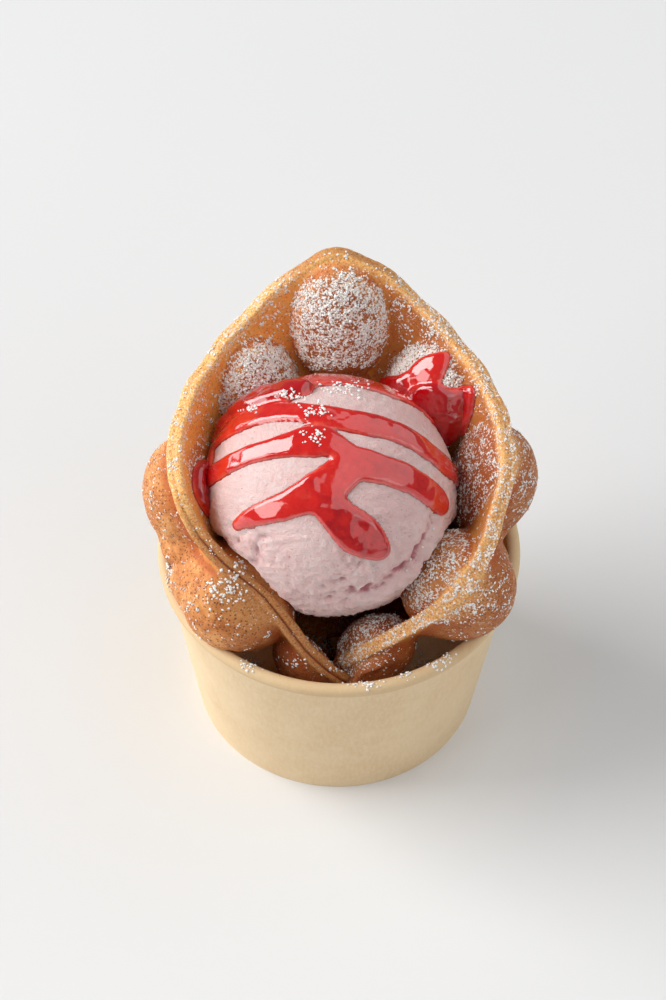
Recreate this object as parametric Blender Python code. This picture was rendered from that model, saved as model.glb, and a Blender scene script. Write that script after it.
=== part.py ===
"""Bubble waffle rolled into a cone, with a scoop of ice cream, in a small paper cup.

Metres, +Z up.  The origin is on the table, under the middle of the whole outline.
The waffle overhangs the cup at the back, so the cup's own axis stands a little forward.
The open seam of the rolled waffle faces -Y and its tall corner stands at +Y.
Azimuths are in degrees from +Y, positive towards +X, seen from the cup's axis.
"""

import math

import bmesh
import bpy
import numpy as np
from mathutils import Vector
from mathutils.bvhtree import BVHTree

MM = 0.001

# ---- paper cup ---------------------------------------------------------------
CUP_AXIS_Y = -2.8 * MM
CUP_HEIGHT = 58.0 * MM
CUP_FOOT_RADIUS = 38.8 * MM
CUP_ROLL_RADIUS = 1.8 * MM
CUP_ROLL_CENTRE = 45.7 * MM
CUP_WALL = 0.8 * MM
CUP_SKIRT = 1.5 * MM
CUP_FLOOR_TOP = 5.4 * MM
CUP_FLOOR_UNDER = 4.4 * MM
CUP_SIDES = 48
CUP_ROLL_STEPS = 8

# ---- rolled waffle -----------------------------------------------------------
SHEET_HALF = 1.9 * MM
FOOT_RADIUS = 12.0 * MM
FOOT_CENTRE_Y = 2.0 * MM
TIP_RADIUS = 3.0 * MM
FOLD_LENGTH = FOOT_RADIUS - TIP_RADIUS
LEFT_END = -186.0
RIGHT_END = 179.0
LAP_SHIFT = 2.5 * MM
LAP_START = 118.0
FOOT_HEIGHT = CUP_FLOOR_TOP + SHEET_HALF + LAP_SHIFT + 0.5 * MM
FILLET = 2.2 * MM
FLANK_START = 0.95
FLANGE_BARE = 0.8 * MM
FLANGE_END = 3.8 * MM
BUBBLE_DEPTH_OF_SHEET = 15.0 * MM
CUP_CLEARANCE = 1.5 * MM
EVENING_PASSES = 1
EVENING_SHARE = 0.4
WAFFLE_COLUMNS = 66
WAFFLE_ROWS = 27

# Rim of the sheet, the same on both sides of its peak: azimuth from the peak, distance
# from the axis and height.
PEAK_AZIMUTH = -1.5
RIM_STATIONS = (
    (0.0, 45.0 * MM, 120.2 * MM),
    (15.0, 43.8 * MM, 116.0 * MM),
    (30.0, 42.0 * MM, 110.0 * MM),
    (55.0, 40.0 * MM, 104.8 * MM),
    (80.0, 40.4 * MM, 102.2 * MM),
    (105.0, 42.3 * MM, 97.4 * MM),
    (130.0, 41.4 * MM, 83.8 * MM),
    (155.0, 37.2 * MM, 68.8 * MM),
    (176.0, 34.6 * MM, 51.6 * MM),
    (190.0, 34.0 * MM, 41.5 * MM),
)
# Where the rim is drawn in or pushed out: azimuth, spread in degrees, radial shift.
RIM_SHIFTS = ((-146.0, 32.0, -4.5 * MM), (145.0, 38.0, 4.0 * MM))

# Bubbles: azimuth, distance down from the rim, half length, half width, inner and outer bulge.
# Near the rim the bulges fade out, which leaves the sheet's flat flange.
BUBBLES = (
    (-1.6, 19.4, 18.2, 13.8, 11.8, 12.5),
    (-43.0, 21.0, 17.6, 14.2, 11.6, 12.5),
    (43.5, 20.6, 17.6, 14.2, 11.2, 12.5),
    (-95.0, 22.8, 20.2, 15.0, 4.0, 15.4),
    (90.0, 18.0, 17.6, 13.8, 5.5, 13.6),
    (-132.0, 19.8, 17.6, 15.0, 9.0, 16.8),
    (125.5, 19.2, 16.8, 13.6, 13.4, 15.8),
    (-166.0, 18.5, 15.6, 10.4, 3.6, 8.6),
    (160.0, 18.0, 15.6, 10.4, 8.5, 8.8),
    (0.0, 47.0, 16.0, 12.4, 8.0, 12.5),
    (-52.0, 45.5, 16.0, 12.0, 7.0, 12.5),
    (52.0, 45.0, 16.0, 12.0, 7.0, 12.5),
    (-84.0, 70.0, 15.0, 11.0, 7.0, 11.0),
    (84.0, 69.0, 15.0, 11.0, 7.0, 11.0),
    (0.0, 76.0, 15.0, 11.0, 7.0, 11.0),
)

# ---- ice cream ---------------------------------------------------------------
SCOOP_CENTRE = (-2.5 * MM, -2.5 * MM, 81.5 * MM)
SCOOP_RADII = (32.2 * MM, 31.5 * MM, 30.0 * MM)
SCOOP_CLEARANCE = 1.1 * MM
SCOOP_FINENESS = 4
SCOOP_LUMP = 0.5 * MM


def remove_everything():
    for thing in list(bpy.data.objects):
        bpy.data.objects.remove(thing, do_unlink=True)


def make_material(name, colour, roughness):
    material = bpy.data.materials.new(name)
    material.use_nodes = True
    shader = material.node_tree.nodes["Principled BSDF"]
    shader.inputs["Base Color"].default_value = (*colour, 1.0)
    shader.inputs["Roughness"].default_value = roughness
    shader.inputs["Metallic"].default_value = 0.0
    return material


def make_anchor():
    """Empty on the cup's axis, which carries every piece."""
    anchor = bpy.data.objects.new("cup_axis", None)
    anchor.location = (0.0, CUP_AXIS_Y, 0.0)
    bpy.context.scene.collection.objects.link(anchor)
    return anchor


def make_object(name, mesh_maker, material, smooth_angle, anchor):
    mesh = bpy.data.meshes.new(name)
    mesh_maker.to_mesh(mesh)
    mesh_maker.free()
    mesh.materials.append(material)
    mesh.shade_smooth()
    mesh.set_sharp_from_angle(angle=math.radians(smooth_angle))
    thing = bpy.data.objects.new(name, mesh)
    bpy.context.scene.collection.objects.link(thing)
    thing.parent = anchor
    return thing


# ---- paper cup ---------------------------------------------------------------

def cup_profile():
    """Closed half section (radius, height): outside up, over the roll, inside down, under."""
    roll_height = CUP_HEIGHT - CUP_ROLL_RADIUS
    outside = [(CUP_FOOT_RADIUS, 0.0), (CUP_ROLL_CENTRE, roll_height - CUP_ROLL_RADIUS)]
    roll = []
    for step in range(1, CUP_ROLL_STEPS):
        turn = -math.pi / 2 + 1.5 * math.pi * step / CUP_ROLL_STEPS
        roll.append((
            CUP_ROLL_CENTRE + CUP_ROLL_RADIUS * math.cos(turn),
            roll_height + CUP_ROLL_RADIUS * math.sin(turn),
        ))
    slope = (CUP_ROLL_CENTRE - CUP_FOOT_RADIUS) / (roll_height - CUP_ROLL_RADIUS)
    inner_top = CUP_ROLL_CENTRE - CUP_WALL - CUP_ROLL_RADIUS * 0.5
    inner_foot = CUP_FOOT_RADIUS - CUP_WALL + slope * CUP_FLOOR_TOP
    inside = [(inner_top, roll_height - CUP_ROLL_RADIUS * 1.2), (inner_foot, CUP_FLOOR_TOP)]
    floor = [(0.0, CUP_FLOOR_TOP), (0.0, CUP_FLOOR_UNDER)]
    skirt = [(CUP_FOOT_RADIUS - CUP_SKIRT, CUP_FLOOR_UNDER), (CUP_FOOT_RADIUS - CUP_SKIRT, 0.0)]
    return outside + roll + inside + floor + skirt


def build_cup(anchor):
    bm = bmesh.new()
    profile = cup_profile()
    vertices = [bm.verts.new((radius, 0.0, height)) for radius, height in profile]
    edges = []
    for index, vertex in enumerate(vertices):
        following = vertices[(index + 1) % len(vertices)]
        if vertex.co.x == 0.0 and following.co.x == 0.0:
            continue
        edges.append(bm.edges.new((vertex, following)))
    bmesh.ops.spin(
        bm,
        geom=vertices + edges,
        axis=(0.0, 0.0, 1.0),
        cent=(0.0, 0.0, 0.0),
        angle=2.0 * math.pi,
        steps=CUP_SIDES,
    )
    bmesh.ops.remove_doubles(bm, verts=bm.verts[:], dist=0.01 * MM)
    bmesh.ops.recalc_face_normals(bm, faces=bm.faces[:])
    paper = make_material("brown paper", (0.64, 0.48, 0.30), 0.75)
    return make_object("paper_cup", bm, paper, 35.0, anchor)


# ---- rolled waffle -----------------------------------------------------------

def rim_value(column, azimuth):
    """Smooth curve through one column of the rim's stations, mirrored about the peak."""
    mirrored = [(-row[0], row[column]) for row in RIM_STATIONS[:0:-1]]
    knots = mirrored + [(row[0], row[column]) for row in RIM_STATIONS]
    places = np.array([knot[0] for knot in knots]) + PEAK_AZIMUTH
    values = np.array([knot[1] for knot in knots])
    slopes = np.gradient(values, places)
    index = np.clip(np.searchsorted(places, azimuth) - 1, 0, len(places) - 2)
    step = places[index + 1] - places[index]
    part = (azimuth - places[index]) / step
    square = part * part
    cube = square * part
    return (
        (2 * cube - 3 * square + 1) * values[index]
        + (cube - 2 * square + part) * step * slopes[index]
        + (3 * square - 2 * cube) * values[index + 1]
        + (cube - square) * step * slopes[index + 1]
    )


def ramp(value, start, end):
    part = np.clip((value - start) / (end - start), 0.0, 1.0)
    return part * part * (3.0 - 2.0 * part)


def line_ends(azimuth):
    """Rim and foot ends of the cone's straight line; near the seam the left side laps outside."""
    lap = LAP_SHIFT * ramp(np.abs(azimuth), LAP_START, 180.0) * -np.sign(azimuth)
    turn = np.radians(azimuth)
    radius = rim_value(1, azimuth) + lap
    for centre, width, shift in RIM_SHIFTS:
        radius = radius + shift * ramp(width - np.abs(azimuth - centre), 0.0, width)
    rim = np.stack([radius * np.sin(turn), radius * np.cos(turn), rim_value(2, azimuth)], -1)
    foot = np.stack([
        (FOOT_RADIUS + lap) * np.sin(turn),
        FOOT_CENTRE_Y + (FOOT_RADIUS + lap) * np.cos(turn),
        FOOT_HEIGHT - lap,
    ], -1)
    return rim, foot


def line_length(azimuth):
    rim, foot = line_ends(azimuth)
    return np.linalg.norm(foot - rim, axis=-1)


def sheet_point(azimuth, down):
    """Middle of the sheet: down the cone's straight line, then in along the cup's floor."""
    azimuth, down = np.broadcast_arrays(azimuth, down)
    rim, foot = line_ends(azimuth)
    length = line_length(azimuth)
    centre = np.stack([np.zeros_like(length), np.full_like(length, FOOT_CENTRE_Y), foot[..., 2]], -1)
    sloping = np.minimum(down, length) / length
    folded = np.maximum(down - length, 0.0) / FOOT_RADIUS
    return rim + (foot - rim) * sloping[..., None] + (centre - foot) * folded[..., None]


def sheet_frame(azimuth, down):
    """Directions up the sheet, along it and out of it."""
    angle_step = 0.05
    up = sheet_point(azimuth, down) - sheet_point(azimuth, down + 0.5 * MM)
    up /= np.linalg.norm(up, axis=-1)[..., None]
    along = sheet_point(azimuth + angle_step, down) - sheet_point(azimuth - angle_step, down)
    along -= up * np.sum(up * along, axis=-1)[..., None]
    along /= np.linalg.norm(along, axis=-1)[..., None]
    return up, along, np.cross(up, along)


def smooth_max(first, second, width):
    part = np.clip(0.5 + 0.5 * (first - second) / width, 0.0, 1.0)
    return second + (first - second) * part + width * part * (1.0 - part)


def dome(reach):
    """Section of a bubble: an ellipse that runs on as a straight flank near its edge."""
    top = math.sqrt(1.0 - FLANK_START ** 2)
    inside = np.sqrt(1.0 - np.minimum(reach, FLANK_START) ** 2)
    outside = top - (reach - FLANK_START) * FLANK_START / top
    return np.where(reach < FLANK_START, inside, outside)


def bulged_side(azimuth, down, side):
    """Points of one face of the waffle; side is +1 outside and -1 inside."""
    middle = sheet_point(azimuth, down)
    normal = sheet_frame(azimuth, down)[2]
    height = np.full(middle.shape[:-1], SHEET_HALF)
    direction = np.zeros_like(middle)
    for at, below, half_length, half_width, inner, outer in BUBBLES:
        centre = sheet_point(np.array([at]), np.array([below * MM]))[0]
        frame = sheet_frame(np.array([at]), np.array([below * MM]))
        up, along, out = (axis[0] for axis in frame)
        offset = middle - centre
        level = offset @ out
        reach = np.hypot(offset @ up / (half_length * MM), offset @ along / (half_width * MM))
        bulge = (outer if side > 0 else inner) * MM
        rise = bulge * dome(reach) - side * level
        near = (np.abs(level) < BUBBLE_DEPTH_OF_SHEET) & (normal @ out > 0.2)
        rise = np.where(near, rise, -1.0)
        pull = ramp(rise, 0.0, 2.0 * SHEET_HALF)
        direction += pull[..., None] * out
        height = smooth_max(height, rise, FILLET)
    flange = ramp(down, FLANGE_BARE, FLANGE_END)
    height = SHEET_HALF + (height - SHEET_HALF) * flange
    direction = direction * flange[..., None]
    weight = np.linalg.norm(direction, axis=-1)[..., None]
    direction = direction + normal * np.clip(1.0 - weight, 0.001, 1.0)
    direction /= np.linalg.norm(direction, axis=-1)[..., None]
    return middle + side * height[..., None] * direction


def evened(points):
    """Ease the grid of points where it is stretched over a bubble's flank."""
    for _ in range(EVENING_PASSES):
        around = (
            points[:-2, 1:-1] + points[2:, 1:-1] + points[1:-1, :-2] + points[1:-1, 2:]
        ) / 4.0
        points[1:-1, 1:-1] += (around - points[1:-1, 1:-1]) * EVENING_SHARE
    return points


def clear_of_cup(points):
    """Dent the points that would touch the cup's wall or its roll."""
    radius = np.hypot(points[..., 0], points[..., 1])
    height = points[..., 2]
    roll_height = CUP_HEIGHT - CUP_ROLL_RADIUS
    around = CUP_ROLL_RADIUS + CUP_CLEARANCE
    above = np.clip((height - roll_height) / around, 0.0, 1.0)
    slope = (CUP_ROLL_CENTRE - CUP_FOOT_RADIUS) / (roll_height - CUP_ROLL_RADIUS)
    wall = CUP_FOOT_RADIUS - CUP_WALL - CUP_CLEARANCE + slope * height
    roll = CUP_ROLL_CENTRE - around * np.sqrt(1.0 - above ** 2)
    limit = np.where(height < roll_height - around, wall, np.minimum(wall, roll))
    limit = np.where(height > roll_height, roll, limit)
    limit = np.where(height > roll_height + around, 1.0, limit)
    shrink = np.minimum(1.0, limit / np.maximum(radius, MM))
    return points * np.stack([shrink, shrink, np.ones_like(shrink)], -1)


def build_waffle(anchor):
    azimuths = np.linspace(LEFT_END, RIGHT_END, WAFFLE_COLUMNS)
    shares = np.linspace(0.0, 1.0, WAFFLE_ROWS)
    azimuth_grid, share_grid = np.meshgrid(azimuths, shares, indexing="ij")
    down_grid = share_grid * (line_length(azimuth_grid) + FOLD_LENGTH)
    bm = bmesh.new()
    sides = []
    for side in (1.0, -1.0):
        points = clear_of_cup(evened(bulged_side(azimuth_grid, down_grid, side)))
        sides.append([[bm.verts.new(point) for point in column] for column in points.tolist()])
    outer, inner = sides
    last_column = WAFFLE_COLUMNS - 1
    last_row = WAFFLE_ROWS - 1
    for i in range(last_column):
        for j in range(last_row):
            bm.faces.new((outer[i][j], outer[i + 1][j], outer[i + 1][j + 1], outer[i][j + 1]))
            bm.faces.new((inner[i][j + 1], inner[i + 1][j + 1], inner[i + 1][j], inner[i][j]))
        bm.faces.new((outer[i + 1][0], outer[i][0], inner[i][0], inner[i + 1][0]))
        bm.faces.new((
            outer[i][last_row], outer[i + 1][last_row], inner[i + 1][last_row], inner[i][last_row],
        ))
    for j in range(last_row):
        bm.faces.new((outer[0][j], outer[0][j + 1], inner[0][j + 1], inner[0][j]))
        bm.faces.new((
            outer[last_column][j + 1], outer[last_column][j],
            inner[last_column][j], inner[last_column][j + 1],
        ))
    bmesh.ops.triangulate(bm, faces=bm.faces[:])
    bmesh.ops.recalc_face_normals(bm, faces=bm.faces[:])
    baked = make_material("baked waffle", (0.55, 0.26, 0.09), 0.6)
    return make_object("waffle", bm, baked, 60.0, anchor)


# ---- ice cream ---------------------------------------------------------------

def lump(direction):
    """Slow uneven swelling of a hand-scooped ball."""
    x, y, z = direction
    return math.sin(3.1 * x + 1.3 * z) * math.cos(2.7 * y - 0.6) + 0.6 * math.sin(5.3 * z + 2.1 * x)


def build_scoop(waffle, anchor):
    """Ball whose surface stops short of the waffle, seen from the ball's centre."""
    tree = BVHTree.FromPolygons(
        [vertex.co.copy() for vertex in waffle.data.vertices],
        [tuple(polygon.vertices) for polygon in waffle.data.polygons],
    )
    bm = bmesh.new()
    bmesh.ops.create_icosphere(bm, subdivisions=SCOOP_FINENESS, radius=1.0)
    centre = Vector(SCOOP_CENTRE)
    reaches = {}
    for vertex in bm.verts:
        direction = vertex.co.normalized()
        surface = Vector([direction[axis] * SCOOP_RADII[axis] for axis in range(3)])
        wanted = surface.length + SCOOP_LUMP * lump(direction)
        hit = tree.ray_cast(centre, direction, 2.0 * wanted)[3]
        reaches[vertex] = wanted if hit is None else min(wanted, hit - SCOOP_CLEARANCE)
    eased = {}
    for vertex in bm.verts:
        around = [reaches[edge.other_vert(vertex)] for edge in vertex.link_edges]
        eased[vertex] = min(reaches[vertex], min(around) + 1.2 * MM)
    for vertex in bm.verts:
        vertex.co = centre + vertex.co.normalized() * eased[vertex]
    bmesh.ops.recalc_face_normals(bm, faces=bm.faces[:])
    strawberry = make_material("strawberry ice cream", (0.72, 0.47, 0.47), 0.5)
    return make_object("ice_cream", bm, strawberry, 180.0, anchor)


def main():
    remove_everything()
    anchor = make_anchor()
    build_cup(anchor)
    waffle = build_waffle(anchor)
    build_scoop(waffle, anchor)


main()
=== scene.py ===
"""Looks of the bubble waffle cup: paper, baked waffle, ice cream, sauce and icing sugar.

Lengths are in metres, and in millimetres where a comment says so.  Shapes are worked out in the
cup's own frame, whose axis stands at CUP_AXIS, and are moved there when their mesh is made.
Azimuths are in degrees from +Y, positive towards +X.
"""

import math

import bmesh
import bpy
import numpy as np
from mathutils import Matrix, Vector, noise
from mathutils.bvhtree import BVHTree


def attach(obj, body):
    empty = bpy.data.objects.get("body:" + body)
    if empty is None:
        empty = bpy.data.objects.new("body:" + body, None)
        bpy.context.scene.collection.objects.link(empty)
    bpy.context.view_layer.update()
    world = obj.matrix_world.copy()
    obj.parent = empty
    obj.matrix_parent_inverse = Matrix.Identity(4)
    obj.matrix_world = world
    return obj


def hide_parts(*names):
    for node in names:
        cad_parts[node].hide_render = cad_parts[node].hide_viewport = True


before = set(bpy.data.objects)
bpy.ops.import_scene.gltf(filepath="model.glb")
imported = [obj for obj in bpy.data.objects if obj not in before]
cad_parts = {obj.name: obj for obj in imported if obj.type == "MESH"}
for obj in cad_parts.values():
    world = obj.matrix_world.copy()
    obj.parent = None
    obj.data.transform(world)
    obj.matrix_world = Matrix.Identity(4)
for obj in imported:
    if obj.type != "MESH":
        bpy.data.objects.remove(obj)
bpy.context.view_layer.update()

MM = 0.001
BODY = "root"
CUP_AXIS = np.array([0.0, -2.8 * MM, 0.0])

# ---- camera of the photograph, in the cup's frame
PHOTO_WIDTH = 666
PHOTO_HEIGHT = 1000
FOCAL_PIXELS = 2500.0
SENSOR = 36.0
CAMERA_ELEVATION = math.radians(51.42)
CAMERA_ROLL = math.radians(-0.92)
CAMERA_DISTANCE = 699.7 * MM
CAMERA_RIGHT = -1.8 * MM
CAMERA_UP = 47.1 * MM

# ---- paper cup
CUP_HEIGHT = 58.0 * MM
CUP_FOOT_RADIUS = 38.8 * MM
CUP_ROLL_RADIUS = 1.8 * MM
CUP_ROLL_CENTRE = 45.7 * MM
CUP_WALL = 0.8 * MM
CUP_SKIRT = 1.5 * MM
CUP_FLOOR_TOP = 5.4 * MM
CUP_FLOOR_UNDER = 4.4 * MM
CUP_SIDES = 288
CUP_ROLL_STEPS = 28
CUP_WALL_STEPS = 25
CUP_SEAM = math.radians(96.0)
CUP_LAP = 0.4 * MM
CUP_ROLL_TURN = 1.42 * math.pi
CUP_ROLL_HEIGHT = CUP_HEIGHT - CUP_ROLL_RADIUS
CUP_SLOPE = (CUP_ROLL_CENTRE - CUP_FOOT_RADIUS) / (CUP_ROLL_HEIGHT - CUP_ROLL_RADIUS)

# ---- rolled waffle, as in the CAD model but finer
SHEET_HALF = 1.9 * MM
FOOT_RADIUS = 12.0 * MM
FOOT_CENTRE_Y = 2.0 * MM
TIP_RADIUS = 3.0 * MM
FOLD_LENGTH = FOOT_RADIUS - TIP_RADIUS
LEFT_END = -186.0
RIGHT_END = 179.0
LAP_SHIFT = 2.5 * MM
LAP_START = 118.0
FOOT_HEIGHT = CUP_FLOOR_TOP + SHEET_HALF + LAP_SHIFT + 0.5 * MM
FILLET = 1.5 * MM
FLANK_START = 0.972
BUBBLE_DEPTH_OF_SHEET = 15.0 * MM
CUP_CLEARANCE = 0.6 * MM
# Easing of the mesh where it is stretched over a bubble's flank.
EVENING_PASSES = 3
EVENING_SHARE = 0.4
WAFFLE_COLUMNS = 400
WAFFLE_ROWS = 165
EDGE_STEPS = 8
FLANGE_BARE = 0.6 * MM
FLANGE_END = 3.2 * MM
PEAK_AZIMUTH = -1.5
RIM_WAVE = 0.35 * MM
RIM_WAVES = 17.0
FULL_BULGE = 12.0 * MM
# The waffle's rim: degrees from its peak, then radius and height in mm.
RIM_STATIONS = (
    (0.0, 45.0, 120.2), (15.0, 43.8, 116.0), (30.0, 42.0, 110.0), (55.0, 40.0, 104.8),
    (80.0, 40.4, 102.2), (105.0, 42.3, 97.4), (130.0, 41.4, 83.8), (155.0, 37.2, 68.8),
    (176.0, 34.6, 51.6), (190.0, 34.0, 41.5),
)
# Where the rim is drawn in or pushed out: azimuth, spread in degrees and radial shift.
RIM_SHIFTS = ((-146.0, 32.0, -4.5 * MM), (145.0, 38.0, 4.0 * MM))

# Bubbles: azimuth, then in mm the distance down from the rim, half length, half width, inner and
# outer bulge, then the icing sugar on the inner and outer face, 0 bare to 1 thick.
BUBBLES = (
    (-1.6, 19.4, 18.2, 13.8, 11.8, 12.5, 0.72, 0.1),
    (-43.0, 21.0, 17.6, 14.2, 11.6, 12.5, 0.8, 0.1),
    (43.5, 20.6, 17.6, 14.2, 11.2, 12.5, 0.95, 0.1),
    (-95.0, 22.8, 20.2, 15.0, 4.0, 15.4, 0.34, 0.26),
    (90.0, 18.0, 17.6, 13.8, 5.5, 13.6, 0.5, 0.42),
    (-132.0, 19.8, 17.6, 15.0, 9.0, 16.8, 0.14, 0.16),
    (125.5, 19.2, 16.8, 13.6, 13.4, 15.8, 0.58, 0.3),
    (-166.0, 18.5, 15.6, 10.4, 3.6, 8.6, 0.5, 0.1),
    (160.0, 18.0, 15.6, 10.4, 8.5, 8.8, 0.75, 0.1),
    (0.0, 47.0, 16.0, 12.4, 8.0, 12.5, 0.1, 0.0),
    (-52.0, 45.5, 16.0, 12.0, 7.0, 12.5, 0.0, 0.0),
    (52.0, 45.0, 16.0, 12.0, 7.0, 12.5, 0.0, 0.0),
    (-84.0, 70.0, 15.0, 11.0, 7.0, 11.0, 0.0, 0.0),
    (84.0, 69.0, 15.0, 11.0, 7.0, 11.0, 0.0, 0.0),
    (0.0, 76.0, 15.0, 11.0, 7.0, 11.0, 0.0, 0.0),
)
# Icing sugar away from the bubbles, on the sheet's inner and outer face.
SHEET_SUGAR = (0.31, 0.06)
# Bare groove round a bubble: its place and width in the bubble's half sizes, and how bare it is.
GROOVE_REACH = 1.06
GROOVE_WIDTH = 0.09
GROOVE_BARE = 0.85
# Icing sugar on the rim, what the back and right have more, and what the peak and the lower left
# have less.
RIM_SUGAR = 0.4
RIM_SUGAR_MORE = 0.08
PEAK_SUGAR_LESS = 0.42
LEFT_SUGAR_LESS = 0.32
# Golden band along the rim, and the azimuths, mirrored, over which the left edge turns toasted.
RIM_BAND = 3.0 * MM
LEFT_EDGE = (105.0, 130.0)
# Fold along the rim's edge: its place and width across the edge from -1 inside to 1 outside, then
# in mm its depth, what the left edge has more, and the height of the edge's crown.
FOLD_PLACE = 0.1
FOLD_WIDTH = 0.16
FOLD_DEPTH = 0.34
FOLD_DEPTH_LEFT = 0.5
EDGE_CROWN = 0.5
# Toasted brown, 0 none to 1 full, in one dark brown that also paints shade: painted shade in the
# outer valleys, on the outer right, on the inner right wall in the ball's shadow and in the edge's
# fold; the right edge darker; toast on the left rim, the left edge and the peak.
LEFT_RIM_TOAST = 0.9
RIGHT_WALL_SHADOW = 0.9
FRONT_PALER = 0.45
OUTER_VALLEY_SHADE = 0.5
OUTER_RIGHT_SHADE = 0.7
LEFT_EDGE_TOAST = 0.8
FOLD_SHADE = 0.7
PEAK_TOAST = 0.7
RIGHT_EDGE_DARKER = 0.35

# ---- ice cream
SCOOP_CENTRE = Vector((-2.5 * MM, -2.7 * MM, 81.0 * MM))
SCOOP_RADII = (32.0 * MM, 30.9 * MM, 29.4 * MM)
SCOOP_FINENESS = 7
BALL_FINENESS = 5
SCOOP_CLEARANCE = 0.5 * MM
# Scooped skirt at the ball's lower right: angles from the line of sight of its groove and ridge.
SKIRT_GROOVE = 55.0
SKIRT_RIDGE = 65.0
# Axis of the swirl that the scoop's drag marks follow.
SWIRL_AXIS = np.array([0.15, -0.55, -0.82]) / math.hypot(0.15, 0.55, 0.82)
# Torn place at the ball's lower left, in ball radii from its middle as the camera sees it.
TORN_PLACE = (-0.66, -0.4)

# ---- strawberry sauce
# Each run of sauce: thickness in mm, then stations (x, y) in the photograph's pixels with the
# half width there in mm.
BALL_SAUCE = {
    "back_band": (0.8, (
        (216, 434, 3.4), (228, 419, 4.4), (244, 406, 5.0), (264, 394, 5.4), (288, 385, 5.6),
        (314, 381, 5.4), (342, 380, 5.0), (368, 384, 4.6), (394, 394, 4.0), (416, 407, 3.2),
        (430, 418, 2.2),
    )),
    "upper_band": (1.1, (
        (210, 466, 3.2), (212, 450, 3.4), (224, 434, 3.6), (244, 422, 3.6), (270, 413, 3.6),
        (298, 413, 3.2), (324, 416, 3.2), (346, 420, 3.5), (366, 424, 3.7), (388, 430, 3.4),
        (408, 438, 3.2), (430, 453, 3.0), (446, 467, 2.9), (455, 477, 2.6),
    )),
    "back_left": (2.8, (
        (212, 440, 2.6), (221, 427, 4.0), (238, 412, 5.0), (260, 400, 5.2), (282, 394, 4.4),
        (302, 392, 3.0),
    )),
    "middle_band": (1.1, (
        (207, 482, 2.6), (218, 472, 2.8), (234, 462, 2.8), (252, 454, 2.8), (272, 449, 2.9),
        (292, 444, 3.6), (312, 441, 4.4), (332, 444, 3.4), (350, 456, 3.2), (366, 465, 4.0),
        (388, 471, 3.8), (407, 478, 3.6), (424, 488, 3.5), (436, 498, 3.3), (442, 505, 2.8),
    )),
    "low_band": (1.0, (
        (238, 525, 1.5), (248, 519, 2.3), (264, 513, 2.9), (282, 507, 3.4), (300, 500, 4.0),
        (318, 491, 4.6), (336, 478, 4.6), (352, 466, 4.0),
    )),
    "drip": (1.5, (
        (316, 492, 4.2), (330, 508, 4.2), (342, 520, 4.6), (354, 531, 5.2), (366, 540, 4.9),
        (379, 549, 3.1),
    )),
}
# The same on the waffle's inner face, by piece.
WALL_SAUCE = {
    "sauce_pool": {
        "middle": (2.0, (
            (368, 384, 1.6), (386, 386, 2.4), (404, 388, 3.4), (420, 394, 4.6), (436, 404, 5.2),
            (448, 413, 5.0), (452, 424, 4.2), (446, 436, 2.6),
        )),
        "upper_lobe": (1.0, (
            (410, 390, 3.8), (419, 380, 4.2), (428, 371, 4.2), (437, 364, 3.2), (443, 359, 2.0),
        )),
        "right_lobe": (1.5, (
            (444, 414, 4.8), (455, 408, 4.8), (464, 401, 4.0), (471, 393, 2.2),
        )),
    },
    "sauce_puddle": {
        "left": (2.6, (
            (202, 468, 2.2), (200, 478, 3.8), (202, 489, 4.8), (207, 499, 4.4), (212, 508, 2.6),
        )),
    },
}
SAUCE_EDGE = 1.7 * MM
SAUCE_DIVE = 0.7 * MM
SAUCE_UNDER = 0.9 * MM
SAUCE_BLEND = 1.6 * MM
SAUCE_BOUNDARY = 0.98
RUN_SPACING = 0.5 * MM
PATCH_MARGIN = 3.0 * MM
PATCH_FINENESS = 3
PATCH_PASSES = 8

# ---- icing sugar
SIFTED_FROM = np.array([0.0, -0.6, 0.8])
SUGAR_TRIES = 340000
SUGAR_SEED = 7
CRUMB_SEED = 11
# Grains: smallest half size in mm, spread above it, and how strongly small ones prevail.
SUGAR_SIZES = (0.17, 0.25, 2.0)
CRUMB_SIZES = (0.24, 0.34, 1.5)
GRAIN_SHAPE = (1.0, 0.8, 0.6)

# Crumbs stay where the surface's normal points up by more than this.
CRUMB_STEEPEST = 0.15
# Larger crumbs of sugar: middle (x, y) in the photograph's pixels, spread both ways and count.
CRUMB_CLUSTERS = (
    (343, 388, 12, 4, 80), (318, 412, 8, 4, 34), (314, 436, 7, 5, 34), (298, 397, 8, 3, 20),
    (250, 409, 4, 2, 24), (284, 394, 5, 2, 24), (224, 590, 13, 8, 110), (238, 567, 4, 4, 20),
    (169, 572, 2, 8, 46), (250, 664, 6, 3, 46), (294, 663, 5, 3, 24), (325, 646, 6, 3, 46),
    (365, 684, 8, 2, 34), (400, 673, 10, 3, 44), (430, 664, 8, 4, 44), (448, 656, 5, 3, 20),
    (395, 615, 3, 2, 34), (338, 664, 5, 5, 30), (420, 334, 16, 8, 50), (340, 300, 24, 26, 120),
    (250, 355, 18, 12, 60), (463, 570, 20, 18, 70),
)

# ---- lights and floor
FLOOR_SIZE = 16.0
WORLD_COLOUR = (0.95, 0.97, 1.0, 1.0)
WORLD_STRENGTH = 0.15
LIT_PLACE = (0.0, 0.0, 0.06)
# Area lights aimed at LIT_PLACE: name, place, width and height, power in watts, and colour.
LIGHTS = (
    ("key", (-1.9, 0.36, 1.5), (1.65, 1.85), 60.0, (1.0, 0.992, 0.98)),
    ("low_window", (-2.35, 1.0, 0.36), (2.0, 0.45), 8.5, (1.0, 0.995, 0.985)),
    ("front_window", (-1.8, -0.9, 1.0), (1.15, 1.0), 12.0, (1.0, 0.995, 0.985)),
    ("ceiling", (0.95, -0.05, 1.4), (3.4, 2.2), 21.0, (0.97, 0.985, 1.0)),
    ("front_panel", (1.45, -1.4, 0.75), (1.7, 1.4), 4.5, (1.0, 1.0, 1.0)),
)


# ==== node materials

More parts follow.
